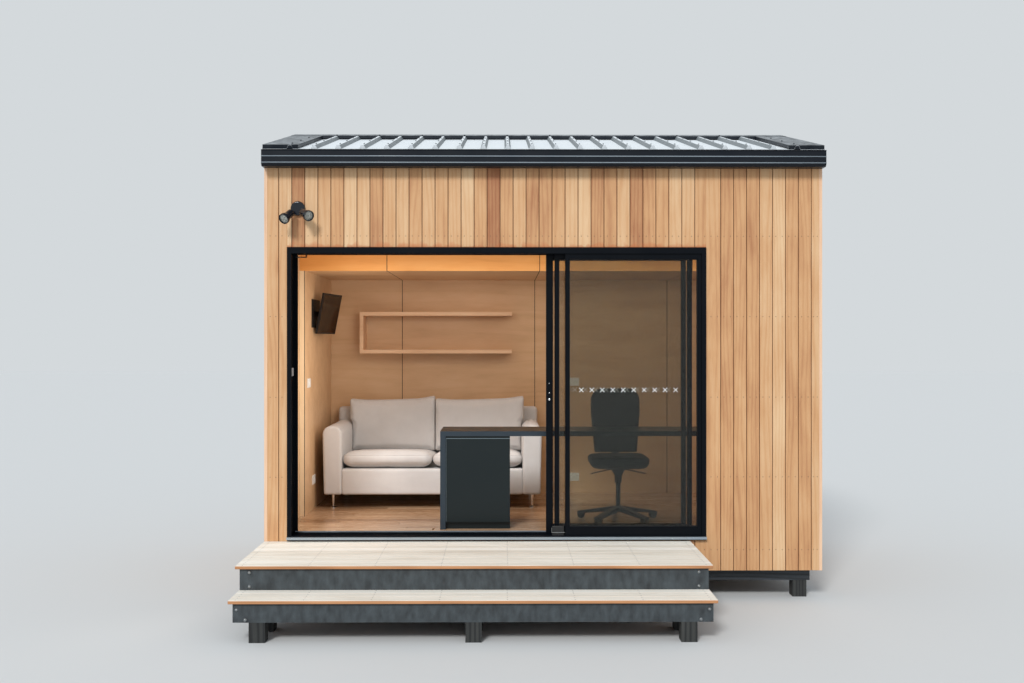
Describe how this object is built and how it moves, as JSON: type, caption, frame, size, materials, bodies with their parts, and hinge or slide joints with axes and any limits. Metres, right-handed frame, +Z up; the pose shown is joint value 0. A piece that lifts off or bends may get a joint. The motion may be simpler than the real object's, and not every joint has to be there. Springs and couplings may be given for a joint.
{
  "type": "garden office pod",
  "caption": "Hollow timber-clad garden room on stumps with a ribbed gable roof, sliding glass door, front step, shelf, desk with chair, and a sofa.",
  "frame": {"origin": "middle of the ground area that the whole part covers, at ground level", "axes": "+X along the front to the right as seen from the garden, +Y from the door to the rear wall, +Z up"},
  "size_m": [4.024, 3.672, 3.5719],
  "materials": {
    "cedar_boards": "oiled vertical shiplap boards",
    "wall_frame": "framed wall behind dark membrane",
    "plywood": "clear-finished plywood sheets",
    "dark_timber": "black-stained timber",
    "pine_frame": "sawn framing pine",
    "floorboards": "polished boards",
    "deck_timber": "weathered decking boards",
    "roof_metal": "light grey ribbed sheet",
    "dark_metal": "charcoal powder coat",
    "door_frame": "black powder coated aluminium",
    "bare_metal": "mill finish strip",
    "door_glass": "clear safety glass",
    "desk_laminate": "charcoal satin board",
    "sofa_fabric": "off-white woven cover",
    "chrome": "polished feet",
    "chair_upholstery": "dark chair upholstery",
    "black_plastic": "black plastic"
  },
  "bodies": {
    "root": {"ground_stumps": "dark_timber", "bearers": "dark_timber", "floor_rims": "pine_frame", "floor_joists": "pine_frame", "floor_boards": "floorboards", "wall_left": "wall_frame", "wall_right": "wall_frame", "wall_rear": "wall_frame", "wall_beside_door": "wall_frame", "wall_over_door": "wall_frame", "cladding_sides": "cedar_boards", "cladding_rear": "cedar_boards", "cladding_front": "cedar_boards", "cladding_door_bay": "cedar_boards", "corner_trims": "cedar_boards", "lining_left": "plywood", "lining_right": "plywood", "lining_rear": "plywood", "lining_front": "plywood", "ceiling_bulkhead": "plywood", "ceiling_lining": "plywood", "rafters": "pine_frame", "ridge_beam": "pine_frame", "roof_battens": "pine_frame", "roof_sheets": "roof_metal", "ridge_cap": "dark_metal", "barge_caps": "dark_metal", "gutters": "dark_metal", "door_head": "door_frame", "door_sill": "door_frame", "door_subsill": "bare_metal", "door_jambs": "door_frame", "fixed_panel": "door_frame", "fixed_glass": "door_glass", "deck_boards": "deck_timber", "deck_rims": "dark_timber", "deck_joists": "dark_timber", "light_base": "dark_metal", "wall_shelf": "plywood", "desk_top": "desk_laminate", "desk_pedestal": "desk_laminate", "sofa_frame": "sofa_fabric", "sofa_seat_cushions": "sofa_fabric", "sofa_back_cushions": "sofa_fabric", "sofa_feet": "chrome", "chair_frame": "black_plastic", "chair_seat": "chair_upholstery", "chair_back": "chair_upholstery", "wall_screen": "black_plastic"},
    "middle_leaf": {"middle_leaf": "door_frame", "middle_glass": "door_glass"},
    "inner_leaf": {"inner_leaf": "door_frame", "inner_glass": "door_glass", "inner_handle": "dark_metal"},
    "light_head_left": {"light_head_left": "dark_metal"},
    "light_head_right": {"light_head_right": "dark_metal"}
  },
  "joints": [
    {"name": "inner_leaf_slide", "type": "slide", "parent": "root", "child": "inner_leaf", "axis": [-1, 0, 0], "range_m": [0, 1.8293]},
    {"name": "middle_leaf_slide", "type": "slide", "parent": "root", "child": "middle_leaf", "axis": [-1, 0, 0], "range_m": [0, 0.8956]},
    {"name": "light_left_tilt", "type": "hinge", "parent": "root", "child": "light_head_left", "pos_m": [-1.799, -0.72, 2.788], "axis": [1, 0, 0], "range_deg": [-30, 30]},
    {"name": "light_right_tilt", "type": "hinge", "parent": "root", "child": "light_head_right", "pos_m": [-1.733, -0.72, 2.788], "axis": [1, 0, 0], "range_deg": [-30, 30]}
  ]
}
